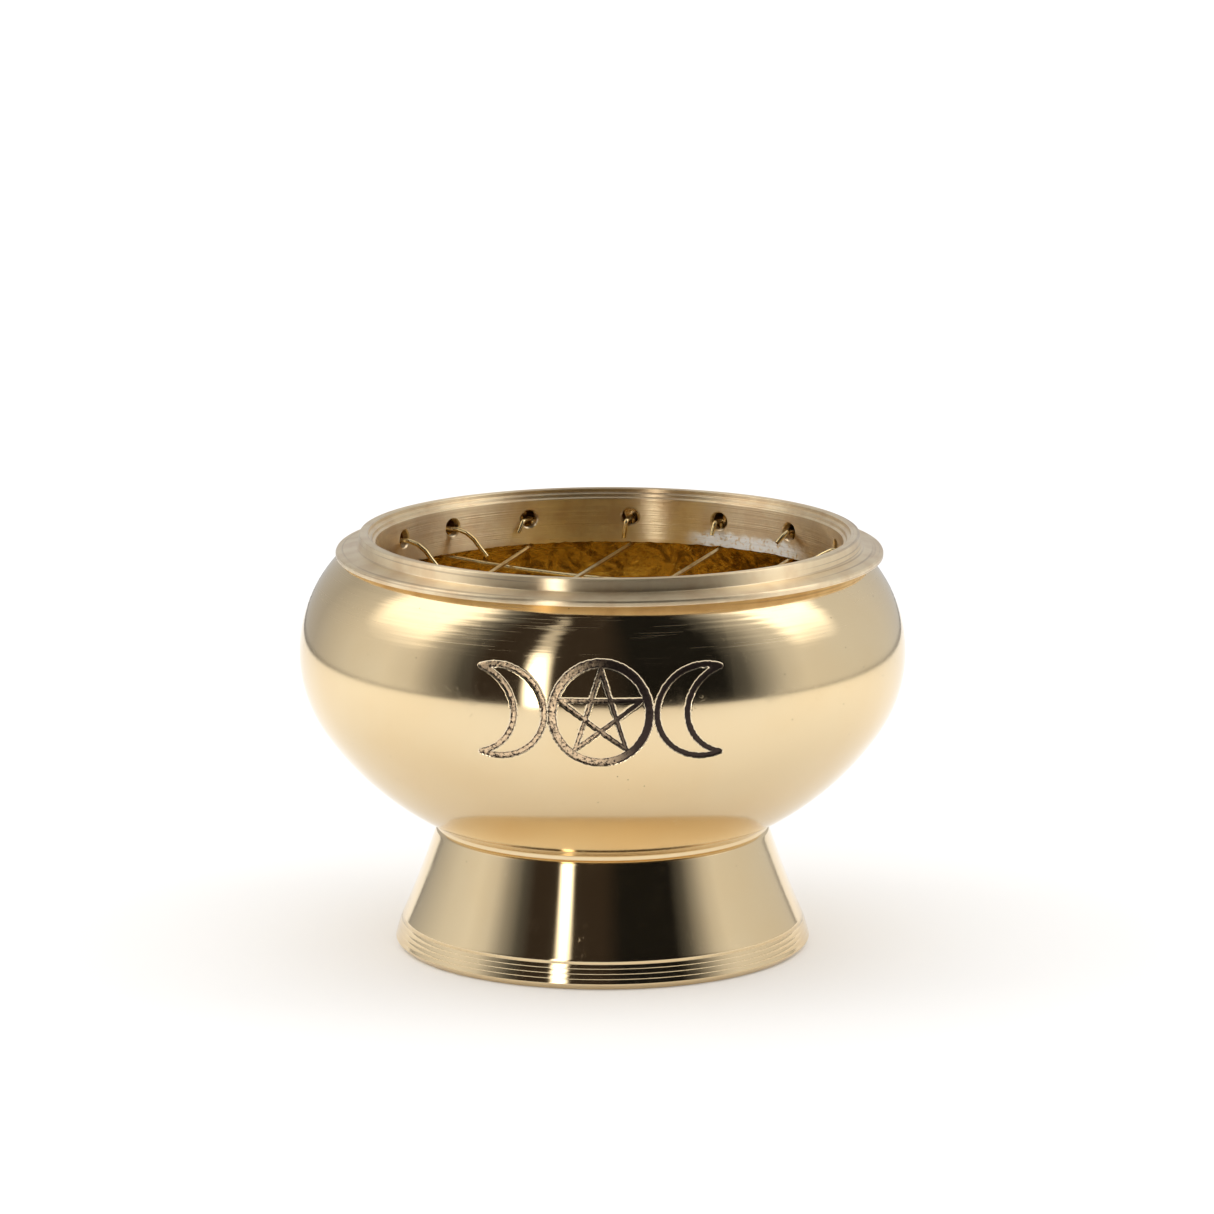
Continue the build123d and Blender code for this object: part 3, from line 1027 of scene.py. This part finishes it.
def glowing_card(name, corners, colour, radiance, side_edge, *heights):
    """Card that fades to clear at its sides and, over heights as g.band takes them, up its height."""
    card = studio_mesh(name, corners, [(0, 1, 2, 3)])
    uv = card.data.uv_layers.new(name="across")
    for corner, place in zip(uv.data, [(0, 0), (1, 0), (1, 1), (0, 1)]):
        corner.uv = place
    only_reflected(card)
    material, g = new_material(name + "_glow")
    u, v, _ = g.split(g.coordinates("UV"))
    off = g.math("ABSOLUTE", g.math("SUBTRACT", u, 0.5))
    glow = g.product(g.band(off, 0.5, side_edge), *[g.band(v, *height) for height in heights])
    lit = g.add("ShaderNodeEmission", {"Color": colour, "Strength": radiance})
    clear = g.add("ShaderNodeBsdfTransparent")
    both = g.add("ShaderNodeMixShader", {0: glow, 1: clear.outputs[0], 2: lit.outputs[0]})
    g.add("ShaderNodeOutputMaterial", {"Surface": both.outputs[0]})
    card.data.materials.append(material)


def strip_light():
    """Tall narrow light left of the camera, brightest low down."""
    turn = math.radians(STRIP_AZIMUTH)
    centre = Vector((math.sin(turn), -math.cos(turn), 0)) * LAMP_AWAY
    across = Vector((math.cos(turn), math.sin(turn), 0)) * STRIP_HALF_WIDTH
    tall = Vector((0, 0, STRIP_H))
    corners = [centre - across, centre + across, centre + across + tall, centre - across + tall]
    glowing_card("strip_light", corners, STRIP_GLOW, 5.0, 0.06, (0.46, 0.14, 0.12, 1.0))


def softbox(name, azimuth, elevation, wide, tall, radiance):
    """Lamp at an azimuth from the camera and an elevation. Its front, as seen in the brass, is a
    card that fades towards its edges, most slowly at the lower one."""
    a, e = math.radians(azimuth), math.radians(elevation)
    away = Vector((math.sin(a) * math.cos(e), -math.cos(a) * math.cos(e), math.sin(e)))
    data = bpy.data.lights.new(name, "AREA")
    data.shape = "RECTANGLE"
    data.size, data.size_y = wide, tall
    data.energy = radiance * math.pi * wide * tall * LAMP_SHARE
    data.color = SOFTBOX_GLOW[:3]
    lamp = bpy.data.objects.new(name, data)
    bpy.context.scene.collection.objects.link(lamp)
    lamp.location = AIM + away * LAMP_AWAY
    lamp.rotation_euler = (-away).to_track_quat("-Z", "Y").to_euler()
    lamp.visible_camera = False
    lamp.visible_glossy = False
    right = away.cross(Vector((0, 0, 1))).normalized() * wide / 2
    up = right.cross(away).normalized() * tall / 2
    front = AIM + away * (LAMP_AWAY - FRONT_GAP)
    corners = [front - right - up, front + right - up, front + right + up, front - right + up]
    glowing_card(name + "_front", corners, SOFTBOX_GLOW, radiance, 0.22, (0.0, 0.5), (1.0, 0.85))


def sky():
    """Even white light, dimmer overhead where the brass reflects it."""
    world = bpy.data.worlds.new("soft_sky")
    world.use_nodes = True
    bpy.context.scene.world = world
    g = Graph(world.node_tree)
    path = g.add("ShaderNodeLightPath").outputs
    overhead = g.split(g.coordinates("Generated"))[2]
    dimmed = g.band(overhead, 0.86, 0.99, -0.87, -0.45)
    strength = g.total(0.98, (path["Is Glossy Ray"], dimmed), (path["Is Camera Ray"], 0.4))
    lit = g.add("ShaderNodeBackground", {"Color": (1, 1, 1, 1), "Strength": strength})
    g.add("ShaderNodeOutputWorld", {"Surface": lit.outputs[0]})


def camera():
    """Long lens at the photograph's viewing angle."""
    data = bpy.data.cameras.new("camera")
    data.lens = CAMERA_LENS
    data.clip_start = 0.01
    data.clip_end = 20
    made = bpy.data.objects.new("camera", data)
    bpy.context.scene.collection.objects.link(made)
    made.location = (AIM.x, -CAMERA_BACK, CAMERA_UP)
    made.rotation_euler = (AIM - made.location).to_track_quat("-Z", "Y").to_euler()
    bpy.context.scene.camera = made


floor()
studio_wall()
strip_light()
softbox("softbox_left", -89, 39, 0.22, 0.27, 2.0)
softbox("softbox_right", 91, 38, 0.16, 0.27, 2.4)
sky()
camera()
bpy.context.scene.view_settings.view_transform = "Standard"
